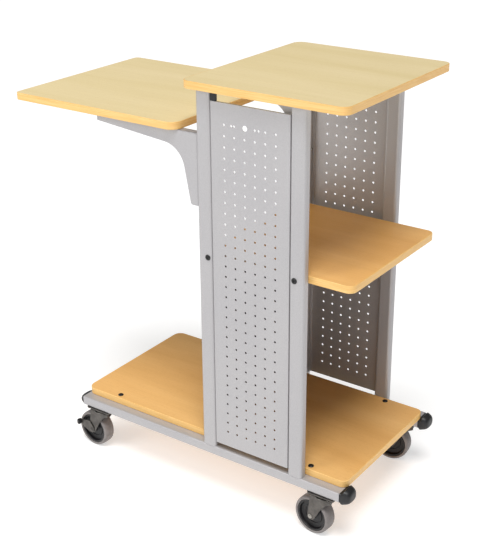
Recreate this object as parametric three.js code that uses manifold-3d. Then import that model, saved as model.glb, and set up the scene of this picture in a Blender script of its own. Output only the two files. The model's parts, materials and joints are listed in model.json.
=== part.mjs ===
// A mobile presentation stand: a perforated steel column on two caster rails,
// with a raised lectern top, a lower side shelf, a middle shelf and a base board.
// Millimetres, +Z up. The origin is on the floor under the middle of the stand's
// bounding box. +X runs from the side shelf to the column, -Y is the near side.
import * as THREE from "three";
import { mergeVertices } from "three/addons/utils/BufferGeometryUtils.js";
import Module from "manifold-3d";

const wasm = await Module();
wasm.setup();

// ---- driving dimensions --------------------------------------------------

const GAP = 0.3; // between pieces that touch

// Heights
const CASTER_HEIGHT = 130;
const RAIL_HEIGHT = 26;
const BOARD = 19; // thickness of every board
const RAIL_TOP = CASTER_HEIGHT + RAIL_HEIGHT;
const BASE_TOP = RAIL_TOP + BOARD;
const MIDDLE_TOP = 701;
const SIDE_TOP = 1019;
const LECTERN_TOP = 1130;

// Rails
const FRAME_Y = 235; // outer faces of rails and posts
const RAIL_WIDTH = 50;
const RAIL_WALL = 2;
const RAIL_LENGTH = 841;
const RAIL_Y = FRAME_Y - RAIL_WIDTH / 2;
const CAP_PLUG = 22;
const CAP_LEFT = { bulge: 16, straight: 7 };
const CAP_RIGHT = { bulge: 26, straight: 10 };
const CAP_DOME = { out: 10, reach: 18.5, half: 24, height: 21, z: 142 };
const BASE_X = 64.5; // middle of the rails and of the base board

// Column
const COLUMN_X = 222.75;
const COLUMN_WIDTH = 305.5;
const POST_WIDTH = 41;
const POST_DEPTH = 25;
const POST_RADIUS = 8;
const POST_WALL = 2;
const COLUMN_LEFT = COLUMN_X - COLUMN_WIDTH / 2;
const COLUMN_RIGHT = COLUMN_X + COLUMN_WIDTH / 2;
const POST_FROM_MIDDLE = (COLUMN_WIDTH - POST_WIDTH) / 2;
const POST_BOTTOM = RAIL_TOP + GAP;
const POST_TOP = LECTERN_TOP - BOARD - GAP;
const INNER_Y = FRAME_Y - POST_DEPTH;

// Perforated panels
const PANEL_GAP = 1;
const PANEL_WIDTH = COLUMN_WIDTH - 2 * POST_WIDTH - 2 * PANEL_GAP;
const PANEL_HEIGHT = 914;
const PANEL_BOTTOM = BASE_TOP - 3;
const PANEL_TOP = PANEL_BOTTOM + PANEL_HEIGHT;
const PANEL_RECESS = 2;
const SHEET = 1.2;
const PANEL_FLANGE = 11;
const PANEL_TOP_RETURN = 6;
const CATCH = { width: 16, depth: 8 }; // over one top corner of each panel
const SIDE_PANEL = { thick: 3, inset: 1 }; // closes the left side of the lower bay
const HOLE_COLUMNS = 6;
const HOLE_ROWS = 31;
const HOLE_PITCH_X = 28.75;
const HOLE_PITCH_Z = 27.33;
const HOLE_RADIUS = 2.9;
const HOLE_BOTTOM = BASE_TOP + 39.8;
const HOLE_TOP = HOLE_BOTTOM + (HOLE_ROWS - 1) * HOLE_PITCH_Z;
const LARGE_HOLE_X = COLUMN_X - 13;
const LARGE_HOLE_RADIUS = 7;
const LARGE_HOLE_SIDE = 38; // from the large hole to the small holes beside it

// Boards: width along X, depth along Y, middle in X, height of the top face, and the
// corner radii at the left and right ends
const EDGE_BAND = 2;
const BASE = { width: 849, depth: 418, x: BASE_X, top: BASE_TOP, corners: [24, 19] };
const MIDDLE = { width: 421, depth: 419, x: 280.5, top: MIDDLE_TOP, corners: [28, 20] };
const SIDE = { width: 531, depth: 493, x: -250, top: SIDE_TOP, corners: [14, 30] };
const LECTERN = { width: 448, depth: 508, x: 265, top: LECTERN_TOP, corners: [24, 24] };

// Brackets under the side shelf and gussets under the lectern top
const BRACKET_SHEET = 2.5;
const BRACKET_Y = 229;
const BRACKET_REACH = 315.5;
const BRACKET_DROP = 183;
const BRACKET_TIP = 17;
const BRACKET_FLANGE = 20;
const GUSSET_REACH = 46;
const GUSSET_DROP = 56;
const GUSSET_FLANGE = 18;
const GUSSET_Y = 213.5;

// Fasteners
const BOLT = { shank: 3, head: 7.5, rise: 2.8 };
const BOLT_HOLE = BOLT.shank + 0.6;
const BASE_BOLT_X = [-249.5, 379.3];
const BASE_BOLT_Y = 194;
const BASE_BOLT_LENGTH = BOARD + 9;
const MIDDLE_SCREW_X = [99, 349];
const MIDDLE_SCREW_Z = MIDDLE_TOP - BOARD / 2;
const MIDDLE_SCREW_LENGTH = POST_DEPTH + 20;
const BRACKET_BOLT_Y = 218;
const BRACKET_BOLT_Z = 853;
const BRACKET_BOLT_LENGTH = BRACKET_SHEET + POST_WIDTH + 4;

// Casters
const CASTER_FROM_MIDDLE = 368;
const CASTER_PLATE = { length: 80, width: 57, thick: 3 };
const RACEWAY_RADIUS = 24;
const RACEWAY_HEIGHT = 6;
const WHEEL_RADIUS = 52;
const WHEEL_WIDTH = 35;
const HUB_RADIUS = 43;
const TRAIL = 31; // from the swivel axis back to the axle
const AXLE_RADIUS = 4;
const AXLE_HEAD = { radius: 6, rise: 2 };
const FORK_INSIDE = 18.7;
const FORK_SHEET = 2.5;
const FORK_FRONT = 34;
const EYE_RADIUS = 9; // round the axle, on the fork and the brake lever
const FORK_TOP = CASTER_HEIGHT - GAP - CASTER_PLATE.thick - RACEWAY_HEIGHT - GAP;
const LEVER_SHEET = 2.5;
const PEDAL = { x: -75, z: 65, length: 9, height: 15, width: 9 }; // foot tab on the lever
const CASTERS = [
  { name: "near_left", x: -1, y: -1, yaw: -3, brake: true },
  { name: "near_right", x: 1, y: -1, yaw: -6, brake: false },
  { name: "far_left", x: -1, y: 1, yaw: 5, brake: true },
  { name: "far_right", x: 1, y: 1, yaw: 7.4, brake: false },
];

// ---- materials -----------------------------------------------------------

const FINISH = {
  laminate: [0xe3bd84, 0.45, 0],
  edge_band: [0xf2c377, 0.5, 0],
  silver_paint: [0xc6c4c2, 0.45, 0.3],
  black_plastic: [0x2a2b2e, 0.55, 0],
  dark_steel: [0x5f5a52, 0.4, 0.8],
  bright_steel: [0xa8a49c, 0.3, 1],
  black_steel: [0x1f1f21, 0.4, 0.6],
  hub_plastic: [0x2e2c2e, 0.5, 0],
  grey_rubber: [0x8b8585, 0.8, 0],
};

const stand = new THREE.Group();

// One named piece: a mesh with a material of its own, added to a group.
function piece(name, finish, geometry, group = stand) {
  const [color, roughness, metalness] = FINISH[finish];
  const material = new THREE.MeshStandardMaterial({ color, roughness, metalness });
  const mesh = new THREE.Mesh(geometry, material);
  mesh.name = name;
  group.add(mesh);
  return mesh;
}

// The same piece on the far side, mirrored across the XZ plane.
function nearAndFar(name, finish, geometry) {
  piece(`${name}_near`, finish, geometry);
  piece(`${name}_far`, finish, geometry).scale.y = -1;
}

// ---- shapes and solids ---------------------------------------------------

// A closed outline through corners [x, y, radius], with an arc at each radius.
function outline(corners) {
  const shape = new THREE.Shape();
  corners.forEach(([x, y, radius = 0], i) => {
    if (radius === 0) {
      if (i === 0) shape.moveTo(x, y);
      else shape.lineTo(x, y);
      return;
    }
    const corner = new THREE.Vector2(x, y);
    const before = new THREE.Vector2(...corners.at(i - 1)).sub(corner).normalize();
    const after = new THREE.Vector2(...corners[(i + 1) % corners.length]);
    after.sub(corner).normalize();
    const half = Math.acos(before.dot(after)) / 2;
    const reach = radius / Math.tan(half);
    const centre = before.clone().add(after).normalize();
    centre.multiplyScalar(radius / Math.sin(half)).add(corner);
    const start = before.clone().multiplyScalar(reach).add(corner).sub(centre);
    const end = after.clone().multiplyScalar(reach).add(corner).sub(centre);
    const clockwise = before.cross(after) > 0;
    shape.absarc(centre.x, centre.y, radius, start.angle(), end.angle(), clockwise);
  });
  return shape;
}

function roundedRectangle(width, height, radius) {
  const [x, y] = [width / 2, height / 2];
  return outline([
    [-x, -y, radius],
    [x, -y, radius],
    [x, y, radius],
    [-x, y, radius],
  ]);
}

function circle(radius, x = 0, y = 0) {
  return new THREE.Shape().absarc(x, y, radius, 0, 2 * Math.PI);
}

// A shape drawn in XY and raised along Z.
function extrudeUp(shape, from, height, curveSegments = 3) {
  const options = { depth: height, bevelEnabled: false, curveSegments };
  return new THREE.ExtrudeGeometry(shape, options).translate(0, 0, from);
}

// A shape drawn in XZ and run along Y.
function extrudeAlongY(shape, from, length, curveSegments = 3) {
  const geometry = extrudeUp(shape, 0, length, curveSegments);
  return geometry.rotateX(Math.PI / 2).translate(0, from + length, 0);
}

// A shape drawn in YZ and run along X.
function extrudeAlongX(shape, from, length, curveSegments = 3) {
  const geometry = extrudeUp(shape, 0, length, curveSegments);
  return geometry.rotateX(Math.PI / 2).rotateZ(Math.PI / 2).translate(from, 0, 0);
}

function box(x0, x1, y0, y1, z0, z1) {
  const geometry = new THREE.BoxGeometry(x1 - x0, y1 - y0, z1 - z0);
  return geometry.translate((x0 + x1) / 2, (y0 + y1) / 2, (z0 + z1) / 2);
}

function toSolid(geometry) {
  const bare = geometry.clone();
  bare.deleteAttribute("normal");
  bare.deleteAttribute("uv");
  const merged = mergeVertices(bare, 1e-4);
  const mesh = new wasm.Mesh({
    numProp: 3,
    vertProperties: merged.attributes.position.array,
    triVerts: new Uint32Array(merged.index.array),
  });
  return new wasm.Manifold(mesh);
}

function toGeometry(solid) {
  const mesh = solid.getMesh();
  const geometry = new THREE.BufferGeometry();
  const position = new THREE.BufferAttribute(mesh.vertProperties, mesh.numProp);
  geometry.setAttribute("position", position);
  geometry.setIndex(new THREE.BufferAttribute(mesh.triVerts, 1));
  return geometry;
}

function join(...geometries) {
  return toGeometry(wasm.Manifold.union(geometries.map(toSolid)));
}

function cut(geometry, ...tools) {
  return toGeometry(wasm.Manifold.difference([geometry, ...tools].map(toSolid)));
}

// Round bars for drilling and for shanks, along each axis.
const rodUp = (radius, x, y, z0, z1) => extrudeUp(circle(radius, x, y), z0, z1 - z0, 4);
const rodAlongY = (radius, x, z, y0, y1) => extrudeAlongY(circle(radius, x, z), y0, y1 - y0, 4);
const rodAlongX = (radius, y, z, x0, x1) => extrudeAlongX(circle(radius, y, z), x0, x1 - x0, 4);

// ---- frame ---------------------------------------------------------------

function rail() {
  const section = roundedRectangle(RAIL_WIDTH, RAIL_HEIGHT, 3);
  const inside = [RAIL_WIDTH - 2 * RAIL_WALL, RAIL_HEIGHT - 2 * RAIL_WALL];
  section.holes.push(roundedRectangle(...inside, 1.5));
  const tube = extrudeAlongX(section, BASE_X - RAIL_LENGTH / 2, RAIL_LENGTH, 1);
  tube.translate(0, -RAIL_Y, CASTER_HEIGHT + RAIL_HEIGHT / 2);
  const holes = BASE_BOLT_X.map((x) =>
    rodUp(BOLT_HOLE, x, -BASE_BOLT_Y, RAIL_TOP - 2 * RAIL_WALL, RAIL_TOP + 1),
  );
  return cut(tube, ...holes);
}

// A rubbery bumper: a nose as wide and tall as the rail, with a plug that fits inside
// the tube. It points along +X from the rail's end.
function railCap({ bulge, straight }) {
  const edge = 4;
  const half = RAIL_WIDTH / 2 - edge;
  const nose = new THREE.Shape();
  nose.moveTo(GAP + edge, half);
  nose.lineTo(GAP + edge, -half);
  nose.lineTo(straight, -half);
  nose.absellipse(straight, 0, bulge - edge - straight, half, -Math.PI / 2, Math.PI / 2);
  const body = new THREE.ExtrudeGeometry(nose, {
    depth: RAIL_HEIGHT - 2 * edge,
    bevelThickness: edge,
    bevelSize: edge,
    bevelSegments: 2,
    curveSegments: 4,
  });
  body.translate(0, 0, CASTER_HEIGHT + edge);
  const slack = RAIL_WALL + 2 * GAP;
  const plug = box(
    -CAP_PLUG,
    GAP + edge,
    slack - RAIL_WIDTH / 2,
    RAIL_WIDTH / 2 - slack,
    CASTER_HEIGHT + slack,
    RAIL_TOP - slack,
  );
  return join(body, plug);
}

// The right-hand bumpers swell into a dome, with a shoulder cut under the base board.
function capDome() {
  const dome = new THREE.SphereGeometry(1, 14, 8).rotateX(Math.PI / 2);
  dome.scale(CAP_DOME.reach, CAP_DOME.half, CAP_DOME.height);
  dome.translate(CAP_DOME.out, 0, CAP_DOME.z);
  const [side, below, above] = [RAIL_WIDTH, CASTER_HEIGHT - RAIL_HEIGHT, RAIL_TOP + RAIL_HEIGHT];
  const shoulder = (BASE.width - RAIL_LENGTH) / 2 + 2 * GAP;
  const behind = box(-side, GAP, -side, side, below, above);
  const underBoard = box(-side, shoulder, -side, side, RAIL_TOP, above);
  return cut(dome, behind, underBoard);
}

// The near post on one side of the column: -1 is left, +1 is right.
function post(side) {
  const section = roundedRectangle(POST_WIDTH, POST_DEPTH, POST_RADIUS);
  const inside = [POST_WIDTH - 2 * POST_WALL, POST_DEPTH - 2 * POST_WALL];
  section.holes.push(roundedRectangle(...inside, POST_RADIUS - POST_WALL));
  const tube = extrudeUp(section, POST_BOTTOM, POST_TOP - POST_BOTTOM, 2);
  tube.translate(COLUMN_X + side * POST_FROM_MIDDLE, POST_DEPTH / 2 - FRAME_Y, 0);
  const screwX = MIDDLE_SCREW_X[(side + 1) / 2];
  const ends = [-FRAME_Y - 1, 1 - INNER_Y];
  const holes = [rodAlongY(BOLT_HOLE, screwX, MIDDLE_SCREW_Z, ...ends)];
  if (side < 0) {
    const through = [COLUMN_LEFT - 1, COLUMN_LEFT + POST_WIDTH + 1];
    holes.push(rodAlongX(BOLT_HOLE, -BRACKET_BOLT_Y, BRACKET_BOLT_Z, ...through));
  }
  return cut(tube, ...holes);
}

// The punched holes, as tools as deep as the sheet. The small ones are square
// with the area of a round hole; the large one takes the place of one of them.
function panelHoles(front) {
  const half = (HOLE_RADIUS * Math.sqrt(Math.PI)) / 2;
  const [y0, y1] = [front - 1, front + SHEET + 1];
  const small = (x, z) => box(x - half, x + half, y0, y1, z - half, z + half);
  const holes = [rodAlongY(LARGE_HOLE_RADIUS, LARGE_HOLE_X, HOLE_TOP, y0, y1)];
  for (const side of [-1, 1]) holes.push(small(LARGE_HOLE_X + side * LARGE_HOLE_SIDE, HOLE_TOP));
  for (let row = 0; row < HOLE_ROWS; row++) {
    for (let column = 0; column < HOLE_COLUMNS; column++) {
      const x = COLUMN_X + (column - (HOLE_COLUMNS - 1) / 2) * HOLE_PITCH_X;
      const isLargeHole = row === HOLE_ROWS - 1 && column === 2;
      if (!isLargeHole) holes.push(small(x, HOLE_BOTTOM + row * HOLE_PITCH_Z));
    }
  }
  return holes;
}

// A perforated steel tray: a sheet with a return along each side and the top.
function panel() {
  const left = COLUMN_X - PANEL_WIDTH / 2;
  const right = COLUMN_X + PANEL_WIDTH / 2;
  const front = PANEL_RECESS - FRAME_Y;
  const side = front + PANEL_FLANGE;
  const tray = join(
    box(left, right, front, front + SHEET, PANEL_BOTTOM, PANEL_TOP),
    box(left, left + SHEET, front, side, PANEL_BOTTOM, PANEL_TOP),
    box(right - SHEET, right, front, side, PANEL_BOTTOM, PANEL_TOP),
    box(left, right, front, front + PANEL_TOP_RETURN, PANEL_TOP - SHEET, PANEL_TOP),
  );
  return cut(tray, ...panelHoles(front));
}

// A moulded catch beside the left post, over the panel's top corner.
function panelCatch() {
  const left = COLUMN_LEFT + POST_WIDTH + GAP;
  const section = roundedRectangle(CATCH.width, CATCH.depth, 1);
  const height = POST_TOP - PANEL_TOP - GAP;
  const block = extrudeUp(section, PANEL_TOP + GAP, height, 1);
  return block.translate(left + CATCH.width / 2, CATCH.depth / 2 + PANEL_RECESS - FRAME_Y, 0);
}

// A plain sheet between the two left posts, from the base board to the middle shelf.
function sidePanel() {
  const left = COLUMN_LEFT + SIDE_PANEL.inset;
  const reach = INNER_Y - 2 * GAP;
  const top = MIDDLE_TOP - BOARD - GAP;
  return box(left, left + SIDE_PANEL.thick, -reach, reach, BASE_TOP + 2 * GAP, top);
}

function buildFrame() {
  nearAndFar("rail", "silver_paint", rail());
  for (const end of [-1, 1]) {
    const name = end < 0 ? "left" : "right";
    for (const side of [-1, 1]) {
      const shape = end < 0 ? railCap(CAP_LEFT) : join(railCap(CAP_RIGHT), capDome());
      const cap = piece(`rail_cap_${side < 0 ? "near" : "far"}_${name}`, "black_plastic", shape);
      cap.position.set(BASE_X + (end * RAIL_LENGTH) / 2, side * RAIL_Y, 0);
      cap.scale.x = end;
    }
    nearAndFar(`post_${name}`, "silver_paint", post(end));
  }
  nearAndFar("panel", "silver_paint", panel());
  nearAndFar("panel_catch", "black_plastic", panelCatch());
  piece("lower_side_panel", "black_steel", sidePanel());
}

// ---- boards --------------------------------------------------------------

// A laminated board and the plastic band glued round its edge.
function board(name, { width, depth, x, top, corners }, holes = []) {
  const bottom = top - BOARD;
  const [left, right] = corners;
  const shape = (inset) =>
    outline([
      [inset - width / 2, inset - depth / 2, left - inset],
      [width / 2 - inset, inset - depth / 2, right - inset],
      [width / 2 - inset, depth / 2 - inset, right - inset],
      [inset - width / 2, depth / 2 - inset, left - inset],
    ]);
  const core = extrudeUp(shape(EDGE_BAND + GAP), bottom, BOARD).translate(x, 0, 0);
  piece(name, "laminate", holes.length ? cut(core, ...holes) : core);
  const ring = shape(0);
  ring.holes.push(shape(EDGE_BAND));
  const band = extrudeUp(ring, bottom, BOARD).translate(x, 0, 0);
  piece(`${name}_edge`, "edge_band", holes.length ? cut(band, ...holes) : band);
}

function buildBoards() {
  const sides = [-1, 1];
  const baseHoles = sides.flatMap((side) =>
    BASE_BOLT_X.map((x) => rodUp(BOLT_HOLE, x, side * BASE_BOLT_Y, RAIL_TOP - 1, BASE_TOP + 1)),
  );
  board("base_board", { ...BASE, top: BASE_TOP + GAP }, baseHoles);
  const screwEnd = FRAME_Y - MIDDLE_SCREW_LENGTH - 1;
  const screwHoles = sides.flatMap((side) =>
    MIDDLE_SCREW_X.map((x) => {
      const ends = [side * screwEnd, side * INNER_Y].sort((a, b) => a - b);
      return rodAlongY(BOLT_HOLE, x, MIDDLE_SCREW_Z, ...ends);
    }),
  );
  board("middle_shelf", MIDDLE, screwHoles);
  board("side_shelf", SIDE);
  board("lectern_top", LECTERN);
}

// ---- brackets and gussets ------------------------------------------------

// A folded sheet bracket: a web whose lower edge sweeps from a thin tip into a
// leg down the post, with a flange under the shelf and another on the post.
function sideBracket() {
  const top = SIDE_TOP - BOARD - GAP;
  const back = COLUMN_LEFT - GAP;
  const bottom = top - BRACKET_DROP;
  const tip = back - BRACKET_REACH;
  const web = outline([
    [tip, top],
    [tip, top - BRACKET_TIP, 2],
    [back - 50.5, top - BRACKET_TIP - 24, 66],
    [back - 23, bottom, 7],
    [back, bottom],
    [back, top],
  ]);
  const sheet = BRACKET_SHEET;
  return join(
    extrudeAlongY(web, -BRACKET_Y, sheet),
    box(tip, back, -BRACKET_Y, BRACKET_FLANGE - BRACKET_Y, top - sheet, top),
    cut(
      box(back - sheet, back, -BRACKET_Y, BRACKET_FLANGE - BRACKET_Y, bottom, top),
      rodAlongX(BOLT_HOLE, -BRACKET_BOLT_Y, BRACKET_BOLT_Z, back - sheet - 1, back + 1),
    ),
  );
}

// A triangular gusset in the XZ plane, inside the right-hand near post.
function topGusset() {
  const back = COLUMN_RIGHT - POST_WIDTH - GAP;
  const tip = back - GUSSET_REACH;
  const bottom = POST_TOP - GUSSET_DROP;
  const web = outline([
    [tip, POST_TOP],
    [tip, POST_TOP - 4],
    [back - 3, bottom],
    [back, bottom],
    [back, POST_TOP],
  ]);
  const [y, sheet] = [-GUSSET_Y, BRACKET_SHEET];
  return join(
    extrudeAlongY(web, y - sheet, sheet),
    box(tip, back, y - sheet, y - sheet + GUSSET_FLANGE, POST_TOP - sheet, POST_TOP),
  );
}

function buildBrackets() {
  nearAndFar("side_bracket", "silver_paint", sideBracket());
  nearAndFar("top_gusset", "silver_paint", topGusset());
}

// ---- fasteners -----------------------------------------------------------

// A domed bolt on the Z axis: the head's underside is at 0 and the shank hangs below.
function bolt(length) {
  const { shank, head, rise } = BOLT;
  const profile = [
    [0, -length],
    [shank, -length],
    [shank, GAP],
    [head, GAP],
    [head, GAP + 1],
    [head * 0.7, GAP + rise],
    [0, GAP + rise],
  ];
  const points = profile.map(([radius, z]) => new THREE.Vector2(radius, z));
  return new THREE.LatheGeometry(points, 10).rotateX(Math.PI / 2);
}

function placeBolt(name, finish, length, position, direction) {
  const mesh = piece(name, finish, bolt(length));
  mesh.position.set(...position);
  const up = new THREE.Vector3(0, 0, 1);
  mesh.quaternion.setFromUnitVectors(up, new THREE.Vector3(...direction));
}

function buildFasteners() {
  for (const side of [-1, 1]) {
    const depth = side < 0 ? "near" : "far";
    ["left", "right"].forEach((end, i) => {
      const onBoard = [BASE_BOLT_X[i], side * BASE_BOLT_Y, BASE_TOP + GAP];
      const boltName = `base_bolt_${depth}_${end}`;
      placeBolt(boltName, "black_steel", BASE_BOLT_LENGTH, onBoard, [0, 0, 1]);
      const onPost = [MIDDLE_SCREW_X[i], side * FRAME_Y, MIDDLE_SCREW_Z];
      const screwName = `middle_shelf_screw_${depth}_${end}`;
      placeBolt(screwName, "black_steel", MIDDLE_SCREW_LENGTH, onPost, [0, side, 0]);
    });
    const face = COLUMN_LEFT - GAP - BRACKET_SHEET;
    const onFlange = [face, side * BRACKET_BOLT_Y, BRACKET_BOLT_Z];
    const bracketBolt = `side_bracket_bolt_${depth}`;
    placeBolt(bracketBolt, "bright_steel", BRACKET_BOLT_LENGTH, onFlange, [-1, 0, 0]);
  }
}

// ---- casters -------------------------------------------------------------
// Each caster is drawn about its swivel axis, with the wheel trailing along -X.

function casterPlate() {
  const top = CASTER_HEIGHT - GAP;
  const { length, width, thick } = CASTER_PLATE;
  return join(
    extrudeUp(roundedRectangle(length, width, 8), top - thick, thick, 1),
    extrudeUp(circle(RACEWAY_RADIUS), top - thick - RACEWAY_HEIGHT, thick + RACEWAY_HEIGHT, 7),
  );
}

// Two legs under a yoke plate, tapering back to round eyes bored for the axle.
function casterFork() {
  const outside = FORK_INSIDE + FORK_SHEET;
  const eye = EYE_RADIUS;
  const leg = outline([
    [FORK_FRONT, FORK_TOP],
    [-TRAIL - 1, FORK_TOP],
    [-TRAIL - eye - 1, WHEEL_RADIUS - eye, eye],
    [-TRAIL + eye, WHEEL_RADIUS - eye, eye],
    [0, WHEEL_RADIUS + 30],
    [FORK_FRONT / 2, FORK_TOP - 16],
    [FORK_FRONT, FORK_TOP - 3],
  ]);
  const bore = rodAlongY(AXLE_RADIUS + 2 * GAP, -TRAIL, WHEEL_RADIUS, -outside - 1, outside + 1);
  const body = join(
    extrudeAlongY(leg, -outside, FORK_SHEET),
    extrudeAlongY(leg, FORK_INSIDE, FORK_SHEET),
    box(-TRAIL - 1, FORK_FRONT, -outside, outside, FORK_TOP - FORK_SHEET, FORK_TOP),
    extrudeUp(circle(RACEWAY_RADIUS + 3), FORK_TOP - FORK_SHEET, FORK_SHEET, 7),
  );
  return cut(body, bore);
}

// An axle riveted over at both ends. A brake lever takes room on its -Y side.
function casterAxle(brake) {
  const upper = FORK_INSIDE + FORK_SHEET + GAP;
  const lower = upper + (brake ? LEVER_SHEET + GAP : 0);
  const { radius, rise } = AXLE_HEAD;
  const profile = [
    [0, -lower - rise],
    [radius, -lower - rise],
    [radius, -lower],
    [AXLE_RADIUS, -lower],
    [AXLE_RADIUS, upper],
    [radius, upper],
    [radius, upper + rise],
    [0, upper + rise],
  ];
  const points = profile.map(([r, y]) => new THREE.Vector2(r, y));
  return new THREE.LatheGeometry(points, 8);
}

// A dished plastic wheel centre with a boss round the axle.
function wheelHub() {
  const bore = AXLE_RADIUS + GAP;
  const [rim, web, boss] = [WHEEL_WIDTH / 2 - 2, 5, FORK_INSIDE - 1];
  const side = [
    [bore, boss],
    [10, boss],
    [12, web],
    [HUB_RADIUS - 7, web],
    [HUB_RADIUS - 4, rim],
    [HUB_RADIUS - GAP, rim],
  ];
  const lower = side.map(([radius, y]) => new THREE.Vector2(radius, -y));
  const upper = side.map(([radius, y]) => new THREE.Vector2(radius, y)).reverse();
  return new THREE.LatheGeometry([...lower, ...upper, lower[0]], 16);
}

function wheelTyre() {
  const half = WHEEL_WIDTH / 2;
  const inside = HUB_RADIUS + 2 * GAP;
  const profile = [
    [inside, -half],
    [WHEEL_RADIUS - 4, -half],
    [WHEEL_RADIUS, -half + 6],
    [WHEEL_RADIUS, half - 6],
    [WHEEL_RADIUS - 4, half],
    [inside, half],
    [inside, -half],
  ];
  const points = profile.map(([radius, y]) => new THREE.Vector2(radius, y));
  return new THREE.LatheGeometry(points, 28);
}

// A foot lever on the axle, outside the -Y fork leg: an arm that runs back past the
// tyre's side to a tab for the toe.
function brakeLever() {
  const inside = FORK_INSIDE + FORK_SHEET + GAP;
  const outside = inside + LEVER_SHEET;
  const { x, z, length, height, width } = PEDAL;
  const eye = EYE_RADIUS;
  const arm = outline([
    [-TRAIL + eye, WHEEL_RADIUS - eye, 8],
    [-TRAIL - eye, WHEEL_RADIUS - eye, 8],
    [x, z - height / 2 + 1],
    [x, z + height / 2 - 1],
    [-TRAIL - 6, z + 14, 8],
    [-TRAIL + eye, WHEEL_RADIUS + eye, 8],
  ]);
  const tab = roundedRectangle(length, height, 2.5).getPoints(2);
  const section = new THREE.Shape(tab.map((point) => new THREE.Vector2(point.x + x, point.y + z)));
  const bore = rodAlongY(AXLE_RADIUS + 2 * GAP, -TRAIL, WHEEL_RADIUS, -outside - 1, -inside + 1);
  const body = join(
    extrudeAlongY(arm, -outside, LEVER_SHEET, 2),
    extrudeAlongY(section, -outside - width, LEVER_SHEET + width, 2),
  );
  return cut(body, bore);
}

function buildCaster({ name, x, y, yaw, brake }) {
  const caster = new THREE.Group();
  caster.position.set(BASE_X + x * CASTER_FROM_MIDDLE, y * RAIL_Y, 0);
  stand.add(caster);
  piece(`caster_plate_${name}`, "dark_steel", casterPlate(), caster);
  const swivel = new THREE.Group();
  swivel.rotation.z = THREE.MathUtils.degToRad(yaw);
  caster.add(swivel);
  piece(`caster_fork_${name}`, "dark_steel", casterFork(), swivel);
  if (brake) piece(`brake_lever_${name}`, "black_plastic", brakeLever(), swivel).scale.y = -y;
  const wheel = new THREE.Group();
  wheel.position.set(-TRAIL, 0, WHEEL_RADIUS);
  swivel.add(wheel);
  piece(`caster_axle_${name}`, "bright_steel", casterAxle(brake), wheel).scale.y = -y;
  piece(`wheel_hub_${name}`, "hub_plastic", wheelHub(), wheel);
  piece(`wheel_tyre_${name}`, "grey_rubber", wheelTyre(), wheel);
}

buildFrame();
buildBoards();
buildBrackets();
buildFasteners();
CASTERS.forEach(buildCaster);

export default stand;
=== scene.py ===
"""Looks for the mobile lectern stand.

Boards of pale laminate with a plastic edge band, silver powder-coated steel,
black mouldings and four swivel casters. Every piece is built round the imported
frame, in metres, with +Z up and -Y the near side.
"""

import json
import math

import bmesh
import bpy
from mathutils import Matrix, Vector


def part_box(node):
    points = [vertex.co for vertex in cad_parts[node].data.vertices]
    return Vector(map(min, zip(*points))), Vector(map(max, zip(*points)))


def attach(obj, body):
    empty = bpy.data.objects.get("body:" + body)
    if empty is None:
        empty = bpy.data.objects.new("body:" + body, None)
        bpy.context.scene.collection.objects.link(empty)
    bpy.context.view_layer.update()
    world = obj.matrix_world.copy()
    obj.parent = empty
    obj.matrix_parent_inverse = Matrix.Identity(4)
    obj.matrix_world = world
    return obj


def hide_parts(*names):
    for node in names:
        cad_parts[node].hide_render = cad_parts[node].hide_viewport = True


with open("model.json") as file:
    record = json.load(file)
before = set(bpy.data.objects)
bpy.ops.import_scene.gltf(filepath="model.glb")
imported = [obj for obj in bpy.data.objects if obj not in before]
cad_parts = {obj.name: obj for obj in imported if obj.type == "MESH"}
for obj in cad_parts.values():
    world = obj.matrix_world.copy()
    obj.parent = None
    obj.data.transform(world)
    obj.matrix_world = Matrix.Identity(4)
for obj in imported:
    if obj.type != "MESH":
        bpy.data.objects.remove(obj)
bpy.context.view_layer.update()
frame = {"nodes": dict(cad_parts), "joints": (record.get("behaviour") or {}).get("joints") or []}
nodes = frame["nodes"]
joints = {joint["name"]: joint for joint in frame["joints"]}

MM = 0.001
ROOT = "stand"
ENDS = [f"{depth}_{end}" for depth in ("near", "far") for end in ("left", "right")]

# ---- camera, floor and light ----------------------------------------------

CAMERA_AT = (1.622, -2.234, 1.7525)
CAMERA_HEADING = 34.96  # degrees from +Y towards -X
CAMERA_DOWN = 22.53
CAMERA_ROLL = -0.30
FOCAL_LENGTH = 71.78  # mm, on a 36 mm sensor along the image's long side
SHIFT_Y = -30 / 560
WORLD_STRENGTH = 0.25
FLOOR_GLOW = 0.5  # keeps the floor almost white in the object's shade
FLOOR_REACH = 30
LIGHTS = [  # name, kind, place, aim, watts or a sun's strength, and further settings
    ("key", "AREA", (-1.5, -3.0, 2.9), (0, 0, 0.9), 52, {"size": 1.5}),
    ("fill", "AREA", (2.2, -3.1, 1.0), (0.2, 0, 0.6), 11, {"size": 1.8}),
    ("top", "SUN", (1.4, -2.2, 7.5), (0, 0, 0.9), 2.15, {"angle": math.radians(25)}),
]


def add_camera():
    camera = bpy.data.cameras.new("camera")
    camera.lens = FOCAL_LENGTH
    camera.sensor_width = 36
    camera.sensor_fit = "AUTO"
    camera.shift_y = SHIFT_Y
    holder = bpy.data.objects.new("camera", camera)
    turn = Matrix.Rotation(math.radians(CAMERA_HEADING), 4, "Z")
    tilt = Matrix.Rotation(math.radians(90 - CAMERA_DOWN), 4, "X")
    roll = Matrix.Rotation(math.radians(CAMERA_ROLL), 4, "Z")
    holder.matrix_world = Matrix.Translation(CAMERA_AT) @ turn @ tilt @ roll
    bpy.context.scene.collection.objects.link(holder)
    bpy.context.scene.camera = holder


def add_light(name, kind, place, aim, power, settings):
    light = bpy.data.lights.new(name, kind)
    light.energy = power
    for key, value in settings.items():
        setattr(light, key, value)
    holder = bpy.data.objects.new(name, light)
    holder.location = place
    direction = Vector(aim) - Vector(place)
    holder.rotation_euler = direction.to_track_quat("-Z", "Y").to_euler()
    bpy.context.scene.collection.objects.link(holder)


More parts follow.
